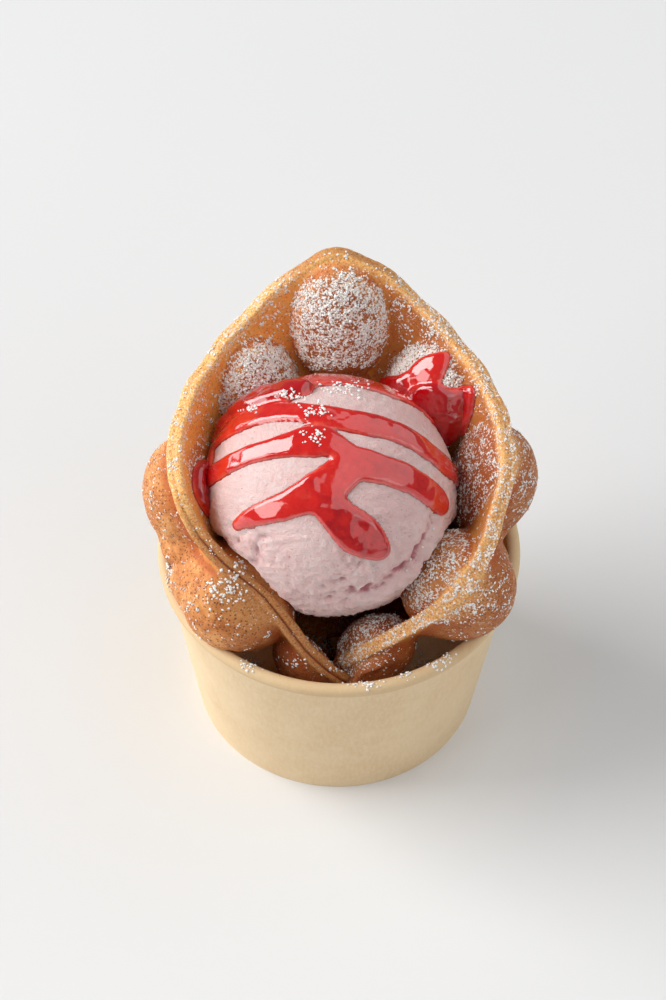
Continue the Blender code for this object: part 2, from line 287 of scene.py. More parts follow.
def srgb(red, green, blue):
    """Linear colour of an 8-bit screen colour."""
    channels = [channel / 255.0 for channel in (red, green, blue)]
    linear = [c / 12.92 if c <= 0.04045 else ((c + 0.055) / 1.055) ** 2.4 for c in channels]
    return (*linear, 1.0)


class Nodes:
    """Small helper that makes and links the nodes of one material."""

    def __init__(self, name):
        self.material = bpy.data.materials.new(name)
        self.material.use_nodes = True
        self.tree = self.material.node_tree
        self.shader = self.tree.nodes["Principled BSDF"]
        coordinates = self.tree.nodes.new("ShaderNodeTexCoord")
        self.place = coordinates.outputs["Object"]

    def put(self, socket, value):
        if isinstance(value, bpy.types.NodeSocket):
            self.tree.links.new(value, socket)
        else:
            socket.default_value = value

    def add(self, kind, inputs, output=0, **settings):
        made = self.tree.nodes.new("ShaderNode" + kind)
        for key, value in settings.items():
            setattr(made, key, value)
        for key, value in inputs.items():
            self.put(made.inputs[key], value)
        return made.outputs[output]

    def noise(self, size, detail=4.0, roughness=0.55, stretch=None):
        """Noise between 0 and 1 whose lumps are about size mm across."""
        place = self.place
        if stretch is not None:
            place = self.add("Mapping", {"Vector": place, "Scale": stretch})
        return self.add("TexNoise", {
            "Vector": place, "Scale": 1.0 / (size * MM), "Detail": detail, "Roughness": roughness,
        })

    def cells(self, size):
        """Distance to the nearest of scattered points about size mm apart."""
        inputs = {"Vector": self.place, "Scale": 1.0 / (size * MM)}
        return self.add("TexVoronoi", inputs, output="Distance")

    def attribute(self, name):
        return self.add("Attribute", {}, output="Fac", attribute_name=name)

    def ramp(self, value, low, high, low_out=0.0, high_out=1.0):
        return self.add("MapRange", {
            "Value": value, "From Min": low, "From Max": high, "To Min": low_out,
            "To Max": high_out,
        }, interpolation_type="SMOOTHSTEP")

    def math(self, operation, first, second):
        return self.add("Math", {0: first, 1: second}, operation=operation)

    def mix_colour(self, share, first, second):
        made = self.tree.nodes.new("ShaderNodeMix")
        made.data_type = "RGBA"
        self.put(made.inputs[0], share)
        self.put(made.inputs[6], first)
        self.put(made.inputs[7], second)
        return made.outputs[2]

    def tint(self, base, value, low, high, colour, most=1.0):
        """Base that takes on a screen colour, by up to most, as value goes from low to high."""
        return self.mix_colour(self.ramp(value, low, high, 0.0, most), base, srgb(*colour))

    def bumps(self, *layers):
        """Normal bent by each layer in turn: its height, its distance in mm and its strength."""
        normal = {}
        for height, distance, strength in layers:
            inputs = {"Height": height, "Distance": distance * MM, "Strength": strength}
            normal = {"Normal": self.add("Bump", inputs | normal)}
        return normal["Normal"]

    def finish(self, colour, rough, **inputs):
        for key, value in dict(Base_Color=colour, Roughness=rough, **inputs).items():
            self.put(self.shader.inputs[key.replace("_", " ")], value)
        return self.material


# ==== meshes

def make_piece(name, vertices, faces, material, attributes=None):
    """Object of one mesh, given in the cup's frame as arrays of points and of faces."""
    mesh = bpy.data.meshes.new(name)
    points = np.asarray(vertices, float) + CUP_AXIS
    mesh.from_pydata(points.tolist(), [], [tuple(face) for face in faces])
    mesh.validate()
    for key, values in (attributes or {}).items():
        layer = mesh.attributes.new(key, "FLOAT", "POINT")
        layer.data.foreach_set("value", np.asarray(values, np.float32).ravel())
    mesh.materials.append(material)
    mesh.shade_smooth()
    piece = link(name, mesh)
    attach(piece, BODY)
    return piece


def link(name, data):
    thing = bpy.data.objects.new(name, data)
    bpy.context.scene.collection.objects.link(thing)
    return thing


def ramp(value, start, end):
    part = np.clip((value - start) / (end - start), 0.0, 1.0)
    return part * part * (3.0 - 2.0 * part)


def unit(vectors):
    return vectors / np.linalg.norm(vectors, axis=-1, keepdims=True)


def field_noise(points, size, seed=0.0):
    """Smooth noise from about -1 to 1 at each point; lumps about size across."""
    shift = Vector((seed, 2.7 * seed, -1.3 * seed))
    flat = points.reshape(-1, 3) / size
    values = [noise.noise(Vector(point) + shift) for point in flat.tolist()]
    return np.array(values).reshape(points.shape[:-1])


def layered_noise(points, *layers):
    """Sum of smooth noises, each given as its height, its size in mm and its seed."""
    return sum(height * field_noise(points, size * MM, seed) for height, size, seed in layers)


def averaged(grid):
    """Mean of each inner point's four neighbours."""
    return (grid[:-2, 1:-1] + grid[2:, 1:-1] + grid[1:-1, :-2] + grid[1:-1, 2:]) / 4.0


# ==== camera, lights and floor

def camera_axes():
    """Right, up and backward directions of the camera, before its roll."""
    right = np.array([1.0, 0.0, 0.0])
    up = np.array([0.0, math.sin(CAMERA_ELEVATION), math.cos(CAMERA_ELEVATION)])
    backward = np.array([0.0, -math.cos(CAMERA_ELEVATION), math.sin(CAMERA_ELEVATION)])
    return right, up, backward


def rolled_axes():
    """The same directions after its roll."""
    right, up, backward = camera_axes()
    cosine = math.cos(CAMERA_ROLL)
    sine = math.sin(CAMERA_ROLL)
    return cosine * right - sine * up, sine * right + cosine * up, backward


def camera_place():
    right, up, backward = camera_axes()
    return backward * CAMERA_DISTANCE + right * CAMERA_RIGHT + up * CAMERA_UP


def pixel_ray(x, y):
    """Direction from the camera through a pixel of the photograph's frame."""
    right, up, backward = rolled_axes()
    across = (x - PHOTO_WIDTH / 2) / FOCAL_PIXELS
    above = (PHOTO_HEIGHT / 2 - y) / FOCAL_PIXELS
    ray = right * across + up * above - backward
    return Vector(unit(ray))


def make_camera():
    rotation = Matrix(rolled_axes()).transposed()
    data = bpy.data.cameras.new("camera")
    data.sensor_width = SENSOR
    data.lens = FOCAL_PIXELS / PHOTO_HEIGHT * SENSOR
    data.clip_start = 0.05
    data.clip_end = 20.0
    camera = link("camera", data)
    camera.matrix_world = Matrix.Translation(camera_place() + CUP_AXIS) @ rotation.to_4x4()
    bpy.context.scene.camera = camera


def make_studio():
    for name, place, size, power, colour in LIGHTS:
        data = bpy.data.lights.new(name, "AREA")
        data.shape = "RECTANGLE"
        data.size, data.size_y = size
        data.energy = power
        data.color = colour
        light = link(name, data)
        towards = Vector(LIT_PLACE) - Vector(place)
        light.rotation_euler = towards.to_track_quat("-Z", "Y").to_euler()
        light.location = place
    world = bpy.data.worlds.new("studio")
    world.use_nodes = True
    background = world.node_tree.nodes["Background"]
    background.inputs["Color"].default_value = WORLD_COLOUR
    background.inputs["Strength"].default_value = WORLD_STRENGTH
    bpy.context.scene.world = world
    bpy.context.scene.view_settings.view_transform = "Standard"

    nodes = Nodes("floor")
    cloud = nodes.noise(400.0, detail=2.0)
    colour = nodes.mix_colour(cloud, srgb(222, 222, 223), srgb(228, 228, 227))
    half = FLOOR_SIZE / 2
    mesh = bpy.data.meshes.new("floor")
    corners = [(-half, -half, 0.0), (half, -half, 0.0), (half, half, 0.0), (-half, half, 0.0)]
    mesh.from_pydata(corners, [], [(0, 1, 2, 3)])
    mesh.materials.append(nodes.finish(colour, 0.65))
    floor = link("floor", mesh)


# ==== paper cup

def cup_profile():
    """Closed half section (radius, height): outside up, over the roll, inside down, under."""
    top = (CUP_ROLL_CENTRE - 0.1 * MM, CUP_ROLL_HEIGHT - CUP_ROLL_RADIUS * 0.98)
    inner_top = CUP_ROLL_HEIGHT - CUP_ROLL_RADIUS * 0.4
    outside = []
    inside = []
    for part in np.linspace(0.0, 1.0, CUP_WALL_STEPS).tolist():
        outside.append((CUP_FOOT_RADIUS + (top[0] - CUP_FOOT_RADIUS) * part, top[1] * part))
        height = inner_top + (CUP_FLOOR_TOP - inner_top) * part
        inside.append((CUP_FOOT_RADIUS - CUP_WALL + CUP_SLOPE * height, height))
    roll = []
    for step in range(1, CUP_ROLL_STEPS):
        turn = -math.pi / 2 + CUP_ROLL_TURN * step / CUP_ROLL_STEPS
        radius = CUP_ROLL_CENTRE + CUP_ROLL_RADIUS * math.cos(turn)
        roll.append((radius, CUP_ROLL_HEIGHT + CUP_ROLL_RADIUS * math.sin(turn)))
    floor = [(8.0 * MM, CUP_FLOOR_TOP), (0.0, CUP_FLOOR_TOP), (0.0, CUP_FLOOR_UNDER)]
    skirt_radius = CUP_FOOT_RADIUS - CUP_SKIRT
    skirt = [(8.0 * MM, CUP_FLOOR_UNDER), (skirt_radius, CUP_FLOOR_UNDER), (skirt_radius, 0.0)]
    return outside + roll + inside + floor + skirt


def paper_material():
    nodes = Nodes("brown_paper")
    broad = nodes.noise(14.0, detail=3.0)
    fibres = nodes.noise(0.9, detail=6.0, roughness=0.7, stretch=(1.0, 1.0, 0.35))
    flecks = nodes.noise(0.35, detail=2.0)
    base = nodes.tint(srgb(232, 205, 162), broad, 0.3, 0.7, (225, 194, 149))
    base = nodes.tint(base, fibres, 0.35, 0.7, (242, 222, 192), 0.45)
    base = nodes.tint(base, flecks, 0.62, 0.74, (176, 144, 104), 0.22)
    # Painted shade: the rolled rim is tinted a deeper tan.
    below_roll = CUP_HEIGHT - 3.4 * MM
    on_roll = CUP_HEIGHT - 2.2 * MM
    level = nodes.add("SeparateXYZ", {0: nodes.place}, output="Z")
    base = nodes.tint(base, level, below_roll, on_roll, (204, 168, 120), 0.5)
    bump = nodes.bumps((fibres, 0.06, 0.5), (flecks, 0.03, 0.5))
    return nodes.finish(base, nodes.ramp(fibres, 0.3, 0.7, 0.52, 0.7), Normal=bump)


def make_cup():
    radius, height = np.array(cup_profile()).T
    count = len(radius)
    turns = np.linspace(0.0, 2.0 * math.pi, CUP_SIDES, endpoint=False)
    wall = (np.arange(count) < CUP_WALL_STEPS) & (radius > 0.0)
    overlap = ramp(turns, CUP_SEAM - 0.16, CUP_SEAM - 0.12) * (turns < CUP_SEAM)
    outwards = 1.0 + overlap[:, None] * wall * CUP_LAP / radius.clip(CUP_LAP)
    vertices = np.stack([
        np.cos(turns)[:, None] * radius * outwards,
        np.sin(turns)[:, None] * radius * outwards,
        np.repeat(height[None], CUP_SIDES, 0),
    ], -1).reshape(-1, 3)
    faces = []
    for side in range(CUP_SIDES):
        start = side * count
        beside = (side + 1) % CUP_SIDES * count
        for step in range(count):
            after = (step + 1) % count
            if radius[step] > 0.0 or radius[after] > 0.0:
                faces.append((start + step, beside + step, beside + after, start + after))
    cup = make_piece("cup_paper", vertices, faces, paper_material())
    bm = bmesh.new()
    bm.from_mesh(cup.data)
    bmesh.ops.remove_doubles(bm, verts=bm.verts[:], dist=0.005 * MM)
    bm.to_mesh(cup.data)
    bm.free()
    cup.data.shade_smooth()
    cup.data.set_sharp_from_angle(angle=math.radians(40.0))
    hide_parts("paper_cup")
    return cup


# ==== rolled waffle

def rim_value(column, azimuth):
    """Smooth curve through one column of the rim's stations, mirrored about the peak."""
    stations = np.array(RIM_STATIONS)
    places = np.concatenate([-stations[:0:-1, 0], stations[:, 0]]) + PEAK_AZIMUTH
    values = np.concatenate([stations[:0:-1, column], stations[:, column]]) * MM
    slopes = np.gradient(values, places)
    index = np.clip(np.searchsorted(places, azimuth) - 1, 0, len(places) - 2)
    step = places[index + 1] - places[index]
    part = (azimuth - places[index]) / step
    square = part * part
    cube = square * part
    return (
        (2 * cube - 3 * square + 1) * values[index]
        + (cube - 2 * square + part) * step * slopes[index]
        + (3 * square - 2 * cube) * values[index + 1]
        + (cube - square) * step * slopes[index + 1]
    )


def line_ends(azimuth):
    """Rim and foot ends of the cone's straight line; near the seam the left side laps outside."""
    lap = LAP_SHIFT * ramp(np.abs(azimuth), LAP_START, 180.0) * -np.sign(azimuth)
    turn = np.radians(azimuth)
    radius = rim_value(1, azimuth) + lap
    for centre, width, shift in RIM_SHIFTS:
        radius = radius + shift * ramp(width - np.abs(azimuth - centre), 0.0, width)
    rim = np.stack([radius * np.sin(turn), radius * np.cos(turn), rim_value(2, azimuth)], -1)
    foot = np.stack([
        (FOOT_RADIUS + lap) * np.sin(turn),
        FOOT_CENTRE_Y + (FOOT_RADIUS + lap) * np.cos(turn),
        FOOT_HEIGHT - lap,
    ], -1)
    return rim, foot


def line_length(azimuth):
    rim, foot = line_ends(azimuth)
    return np.linalg.norm(foot - rim, axis=-1)


def sheet_point(azimuth, down):
    """Middle of the sheet: down the cone's straight line, then in along the cup's floor."""
    azimuth, down = np.broadcast_arrays(azimuth, down)
    rim, foot = line_ends(azimuth)
    length = line_length(azimuth)
    centre = foot * [0.0, 0.0, 1.0] + [0.0, FOOT_CENTRE_Y, 0.0]
    sloping = np.minimum(down, length) / length
    folded = np.maximum(down - length, 0.0) / FOOT_RADIUS
    return rim + (foot - rim) * sloping[..., None] + (centre - foot) * folded[..., None]


def sheet_frame(azimuth, down):
    """Directions up the sheet, along it and out of it."""
    angle_step = 0.05
    up = unit(sheet_point(azimuth, down) - sheet_point(azimuth, down + 0.5 * MM))
    along = sheet_point(azimuth + angle_step, down) - sheet_point(azimuth - angle_step, down)
    along = unit(along - up * np.sum(up * along, axis=-1)[..., None])
    return up, along, np.cross(up, along)


def smooth_max(first, second, width):
    part = np.clip(0.5 + 0.5 * (first - second) / width, 0.0, 1.0)
    return second + (first - second) * part + width * part * (1.0 - part)


def dome(reach):
    """Section of a bubble: an ellipse that runs on as a straight flank near its edge."""
    top = math.sqrt(1.0 - FLANK_START ** 2)
    inside = np.sqrt(1.0 - np.minimum(reach, FLANK_START) ** 2)
    outside = top - (reach - FLANK_START) * FLANK_START / top
    return np.where(reach < FLANK_START, inside, outside)


def bulged_side(azimuth, down, side):
    """Points of one face of the waffle, how far each bulges, and the sugar that falls there."""
    middle = sheet_point(azimuth, down)
    normal = sheet_frame(azimuth, down)[2]
    height = np.full(middle.shape[:-1], SHEET_HALF)
    face = 0 if side < 0 else 1
    sugar = np.full(middle.shape[:-1], SHEET_SUGAR[face])
    direction = np.zeros_like(middle)
    for bubble in BUBBLES:
        at, below, half_length, half_width = bubble[:4]
        spot = (np.array([at]), np.array([below * MM]))
        centre = sheet_point(*spot)[0]
        up, along, out = (axis[0] for axis in sheet_frame(*spot))
        offset = middle - centre
        level = offset @ out
        reach = np.hypot(offset @ up / (half_length * MM), offset @ along / (half_width * MM))
        rise = bubble[4 + face] * MM * dome(reach) - side * level
        near = (np.abs(level) < BUBBLE_DEPTH_OF_SHEET) & (normal @ out > 0.2)
        rise = np.where(near, rise, -1.0)
        pull = ramp(rise, 0.0, 2.0 * SHEET_HALF)
        direction += pull[..., None] * out
        height = smooth_max(height, rise, FILLET)
        share = near * ramp(1.25 - reach, 0.0, 0.35)
        sugar = sugar * (1.0 - share) + bubble[6 + face] * share
        groove = near * np.exp(-((reach - GROOVE_REACH) / GROOVE_WIDTH) ** 2)
        sugar = sugar * (1.0 - GROOVE_BARE * groove)
    flange = ramp(down, FLANGE_BARE, FLANGE_END)
    height = SHEET_HALF + (height - SHEET_HALF) * flange
    direction = direction * flange[..., None]
    weight = np.linalg.norm(direction, axis=-1)[..., None]
    direction = unit(direction + normal * np.clip(1.0 - weight, 0.001, 1.0))
    return middle + side * height[..., None] * direction, height - SHEET_HALF, sugar


def clear_of_cup(points):
    """Dent the points that would touch the cup's wall or its roll."""
    radius = np.hypot(points[..., 0], points[..., 1])
    height = points[..., 2]
    around = CUP_ROLL_RADIUS + CUP_CLEARANCE
    level = height - CUP_ROLL_HEIGHT
    wall = CUP_FOOT_RADIUS - CUP_WALL - CUP_CLEARANCE + CUP_SLOPE * height
    roll = CUP_ROLL_CENTRE - around * np.sqrt(1.0 - np.clip(level / around, 0.0, 1.0) ** 2)
    zones = [level < -around, level <= 0.0, level <= around]
    limit = np.select(zones, [wall, np.minimum(wall, roll), roll], 1.0)
    shrink = np.minimum(1.0, limit / np.maximum(radius, MM))
    return points * np.stack([shrink, shrink, np.ones_like(shrink)], -1)


def waffle_material():
    nodes = Nodes("baked_waffle")
    bulge = nodes.attribute("bulge")
    edge = nodes.attribute("edge")
    dust = nodes.attribute("dust")
    broad = nodes.noise(7.0)
    medium = nodes.noise(1.8, detail=5.0, roughness=0.65)
    fine = nodes.noise(0.45, detail=3.0, roughness=0.7)
    pores = nodes.cells(0.85)
    valley = nodes.tint(srgb(240, 142, 58), medium, 0.3, 0.7, (252, 182, 96))
    tan = nodes.tint(srgb(230, 160, 92), broad, 0.35, 0.65, (206, 128, 64))
    base = nodes.mix_colour(nodes.ramp(bulge, 0.02, 0.3), valley, tan)
    shown = nodes.ramp(bulge, 0.05, 0.5, 0.35, 0.85)
    browned = nodes.math("MULTIPLY", nodes.ramp(medium, 0.42, 0.66, 0.0, 0.65), shown)
    base = nodes.mix_colour(browned, base, srgb(168, 86, 34))
    # Painted shade: deeper orange in the groove round each bubble's foot.
    inside_ring = nodes.ramp(bulge, 0.34, 0.12, 0.0, 0.7)
    groove_shade = nodes.math("MULTIPLY", nodes.ramp(bulge, 0.0, 0.05), inside_ring)
    base = nodes.mix_colour(groove_shade, base, srgb(188, 84, 26))
    golden = nodes.tint(srgb(238, 154, 70), fine, 0.38, 0.62, (255, 213, 143))
    base = nodes.mix_colour(edge, base, golden)
    # Dark brown over toasted crust, and painted shade in the valleys, the fold, near the seam and on
    # the shaded right.
    toast_and_shade = nodes.math("MULTIPLY", nodes.attribute("toast_and_shade"), 0.7)
    base = nodes.mix_colour(toast_and_shade, base, srgb(142, 60, 20))
    # Painted shade: dark brown in the pores.
    pore_shade = nodes.math("MULTIPLY", nodes.ramp(pores, 0.36, 0.2), shown)
    base = nodes.mix_colour(pore_shade, base, srgb(128, 58, 22))
    grain = nodes.noise(0.62, detail=2.0, roughness=0.6)
    drift = nodes.noise(3.2, detail=2.0)
    normal = nodes.add("NewGeometry", {}, output="Normal")
    facing = nodes.add("SeparateXYZ", {0: normal}, output="Z")
    settled = nodes.math("MULTIPLY", dust, nodes.ramp(facing, -0.75, 0.2))
    settled = nodes.math("ADD", settled, nodes.ramp(drift, 0.3, 0.7, -0.16, 0.16))
    level = nodes.math("ADD", grain, nodes.math("MULTIPLY", settled, 0.3))
    powder = nodes.ramp(level, 0.69, 0.77, 0.0, 0.8)
    base = nodes.mix_colour(powder, base, srgb(248, 243, 236))
    holes = nodes.ramp(pores, 0.1, 0.4)
    bump = nodes.bumps((medium, 0.4, 0.5), (holes, 0.22, 0.6), (fine, 0.14, 0.6), (powder, 0.15, 0.7))
    rough = nodes.ramp(medium, 0.3, 0.7, 0.5, 0.7)
    return nodes.finish(
        base, rough, Normal=bump, Subsurface_Weight=0.15, Subsurface_Radius=(1.0, 0.5, 0.25),
        Subsurface_Scale=1.5 * MM, Specular_IOR_Level=0.4,
    )


def rim_sugar(azimuth):
    """Icing sugar on the rim's band and edge."""
    sugar = RIM_SUGAR + RIM_SUGAR_MORE * ramp(azimuth, -75.0, -35.0)
    sugar = sugar - PEAK_SUGAR_LESS * ramp(22.0 - np.abs(azimuth), 0.0, 14.0)
    return sugar - LEFT_SUGAR_LESS * ramp(-azimuth, 100.0, 125.0)


def rim_edge(azimuths, outer, inner):
    """Rows of points along the crowned edge between both faces, and their toast and painted shade."""
    up = sheet_frame(azimuths, np.zeros_like(azimuths))[0]
    left = ramp(-azimuths, *LEFT_EDGE)
    rows = []
    toast_and_shade = []
    for part in np.linspace(1.0, -1.0, EDGE_STEPS + 2)[1:-1]:
        fold = math.exp(-((part - FOLD_PLACE) / FOLD_WIDTH) ** 2)
        crown = EDGE_CROWN * math.sqrt(1.0 - part * part)
        crown = crown - (FOLD_DEPTH + FOLD_DEPTH_LEFT * left) * fold
        row = (outer[:, 0] * (1.0 + part) + inner[:, 0] * (1.0 - part)) / 2.0
        ragged = layered_noise(row, (0.12, 1.2, 5.0))
        rows.append(row + up * ((crown + ragged) * MM)[:, None])
        # The left edge is toasted; its fold is darkened as painted shade.
        toast_and_shade.append((LEFT_EDGE_TOAST + FOLD_SHADE * fold) * left)
    # The peak is toasted; the right edge is made darker.
    peak = PEAK_TOAST * ramp(28.0 - np.abs(azimuths), 0.0, 16.0)
    right = RIGHT_EDGE_DARKER * ramp(azimuths, 10.0, 40.0)
    return rows, np.maximum(np.array(toast_and_shade), np.maximum(peak, right))


def face_toast_and_shade(azimuth, near_rim, bulges):
    """Toast and painted shade of the outer and the inner face: most near the seam and on the inner
    right, where shade is painted.
    """
    left_rim = LEFT_RIM_TOAST * ramp(-azimuth, *LEFT_EDGE) * near_rim
    # Painted shade near the seam, on the front bubbles under the flange; the left rim is toasted.
    seam = np.maximum(ramp(np.abs(azimuth), 142.0, 160.0), left_rim)
    # Painted shade in the outer face's valleys and on its right side.
    valley = OUTER_VALLEY_SHADE * ramp(0.25 - bulges[0], 0.0, 0.2)
    outer = np.maximum(valley, OUTER_RIGHT_SHADE * ramp(azimuth, 60.0, 90.0))
    # Painted shadow of the ball on the inner right wall; the inner bubbles are toasted.
    right_wall = RIGHT_WALL_SHADOW * ramp(azimuth, 2.0, 28.0)
    inner = np.maximum(right_wall, ramp(bulges[1], 0.2, 0.6))
    inner = inner * (1.0 - FRONT_PALER * ramp(azimuth, 100.0, 118.0))
    return [np.maximum(seam, toast_and_shade * (1.0 - near_rim)) for toast_and_shade in (outer, inner)]


def waffle_faces():
    """Faces of both sides, the foot, the rim's edge and both ends."""
    columns, rows = WAFFLE_COLUMNS, WAFFLE_ROWS
    inner_start = columns * rows
    edge_start = 2 * columns * rows

    def rim_chain(i):
        edge = [edge_start + k * columns + i for k in range(EDGE_STEPS)]
        return [i * rows] + edge + [i * rows + inner_start]

    faces = []
    for i in range(columns - 1):
        for j in range(rows - 1):
            a = i * rows + j
            b = a + rows
            c = a + inner_start
            d = b + inner_start
            faces += [(a, b, b + 1, a + 1), (c + 1, d + 1, d, c)]
        last = i * rows + rows - 1
        faces.append((last, last + rows, last + rows + inner_start, last + inner_start))
        chain = rim_chain(i)
        beside = rim_chain(i + 1)
        for k in range(EDGE_STEPS + 1):
            faces.append((beside[k], chain[k], chain[k + 1], beside[k + 1]))
    for column, flipped in ((0, False), (columns - 1, True)):
        for j in range(rows - 1):
            a = column * rows + j
            face = (a, a + 1, a + 1 + inner_start, a + inner_start)
            faces.append(face[::-1] if flipped else face)
        rim_loop = tuple(rim_chain(column))
        faces.append(rim_loop if flipped else rim_loop[::-1])
    return faces


def make_waffle():
    azimuths = np.linspace(LEFT_END, RIGHT_END, WAFFLE_COLUMNS)
    shares = np.linspace(0.0, 1.0, WAFFLE_ROWS)
    azimuth, share = np.meshgrid(azimuths, shares, indexing="ij")
    down = share * (line_length(azimuth) + FOLD_LENGTH)
    down = down + RIM_WAVE * np.sin(np.radians(azimuth) * RIM_WAVES) * (1.0 - share) ** 4
    on_flange = ramp(RIM_BAND - down, -1.0 * MM, 1.5 * MM)
    near_rim = ramp(RIM_BAND - down, 0.0, 2.4 * MM)
    grids = []
    bulges = []
    sugars = []
    for side in (1.0, -1.0):
        points, bulge, sugar = bulged_side(azimuth, down, side)
        for _ in range(EVENING_PASSES):
            points[1:-1, 1:-1] += (averaged(points) - points[1:-1, 1:-1]) * EVENING_SHARE
        normal = sheet_frame(azimuth, down)[2] * side
        uneven = layered_noise(points, (0.28, 6.0, 3.0), (0.1, 1.6, 8.0))
        points = points + normal * (uneven * MM)[..., None]
        grids.append(clear_of_cup(points))
        bulges.append(bulge / FULL_BULGE)
        sugars.append(sugar * (1.0 - on_flange) + rim_sugar(azimuth) * on_flange)
    outer, inner = grids
    edge_rows, edge_toast_and_shade = rim_edge(azimuths, outer, inner)
    on_edge = np.ones(edge_toast_and_shade.size)
    edge_sugar = np.tile(rim_sugar(azimuths), len(edge_rows))

    def attribute(faces, edge):
        return np.concatenate([faces[0].ravel(), faces[1].ravel(), edge.ravel()])

    vertices = np.concatenate([outer.reshape(-1, 3), inner.reshape(-1, 3)] + edge_rows)
    waffle = make_piece("waffle_baked", vertices, waffle_faces(), waffle_material(), {
        "bulge": attribute(bulges, 0.0 * on_edge),
        "edge": attribute([near_rim, near_rim], on_edge),
        "dust": attribute(sugars, edge_sugar),
        "toast_and_shade": attribute(face_toast_and_shade(azimuth, near_rim, bulges), edge_toast_and_shade),
    })
    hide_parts("waffle")
    return waffle, inner


# ==== ice cream

def tree_of(piece):
    """Ray-casting tree of a piece, in the cup's frame."""
    shift = Vector(CUP_AXIS)
    vertices = [vertex.co - shift for vertex in piece.data.vertices]
    return BVHTree.FromPolygons(vertices, [tuple(face.vertices) for face in piece.data.polygons])


def ice_cream_material():
    nodes = Nodes("strawberry_ice_cream")
    broad = nodes.noise(9.0, detail=3.0)
    medium = nodes.noise(1.6, detail=5.0, roughness=0.65)
    fine = nodes.noise(0.4, detail=3.0, roughness=0.7)
    base = nodes.tint(srgb(247, 217, 213), broad, 0.3, 0.7, (242, 204, 200))
    base = nodes.tint(base, medium, 0.5, 0.75, (226, 158, 162), 0.3)
    flecks = nodes.noise(0.7, detail=1.0)
    # Deeper pink in the pits and the skirt's groove: painted shade, and partly the berry's own deeper
    # pink.
    base = nodes.mix_colour(nodes.attribute("hollow_shade"), base, srgb(192, 112, 122))
    base = nodes.tint(base, flecks, 0.68, 0.78, (196, 84, 100), 0.55)
    crumbly = nodes.cells(1.1)
    bump = nodes.bumps((medium, 0.8, 0.7), (crumbly, 0.25, 0.5), (fine, 0.32, 0.9))
    rough = nodes.ramp(medium, 0.3, 0.7, 0.36, 0.54)
    return nodes.finish(
        base, rough, Normal=bump, Subsurface_Weight=0.45, Subsurface_Radius=(1.0, 0.45, 0.4),
        Subsurface_Scale=1.6 * MM, Specular_IOR_Level=0.7,
    )


def scoop_relief(direction, points, covered):
    """Height of the scooped surface above the ball, in metres; calm where sauce covers it."""
    latitude = direction @ SWIRL_AXIS
    side = unit(np.cross(SWIRL_AXIS, [1.0, 0.0, 0.0]))
    other = np.cross(SWIRL_AXIS, side)
    longitude = np.arctan2(direction @ side, direction @ other)
    drag = np.stack([latitude * 32.0, longitude * 2.2, np.zeros_like(latitude)], -1)
    ridges = field_noise(drag, 1.0, 4.0)
    finer = field_noise(drag * np.array([2.6, 2.0, 1.0]), 1.0, 6.0)
    crumbs = field_noise(points, 2.8 * MM, 2.0)
    grains = field_noise(points, 1.1 * MM, 3.0)
    pits = field_noise(points, 3.2 * MM, 9.0)
    level, height, facing = (direction @ axis for axis in camera_axes())
    around = np.degrees(np.arctan2(height, level))
    tilt = np.degrees(np.arccos(np.clip(facing, -1.0, 1.0)))
    tilt = tilt + layered_noise(points, (2.5, 7.0, 11.0))
    lower_right = ramp(around, -105.0, -75.0) * ramp(around, 5.0, -25.0)
    groove = np.exp(-((tilt - SKIRT_GROOVE) / 3.2) ** 2) * lower_right
    skirt = np.exp(-((tilt - SKIRT_RIDGE) / 4.5) ** 2) * lower_right
    torn = np.exp(-((level - TORN_PLACE[0]) ** 2 + (height - TORN_PLACE[1]) ** 2) / 0.035)
    rough = ramp(0.5 * level - 0.8 * height, 0.1, 0.75)
    rough = np.clip(rough + torn + 0.5 * groove, 0.0, 1.2)
    relief = 0.22 * ridges + 0.16 * finer + (0.12 + 0.34 * rough) * grains
    relief = relief + (0.08 + 0.7 * rough) * (0.5 - 2.0 * np.abs(crumbs)) + 1.6 * torn * crumbs
    relief = relief - (0.2 + 0.7 * rough) * ramp(pits + 0.6 * grains, 0.3, 0.75)
    relief = relief - 1.5 * groove * (0.7 + 0.6 * crumbs) + 0.9 * skirt
    return relief * (1.0 - 0.9 * covered) * MM


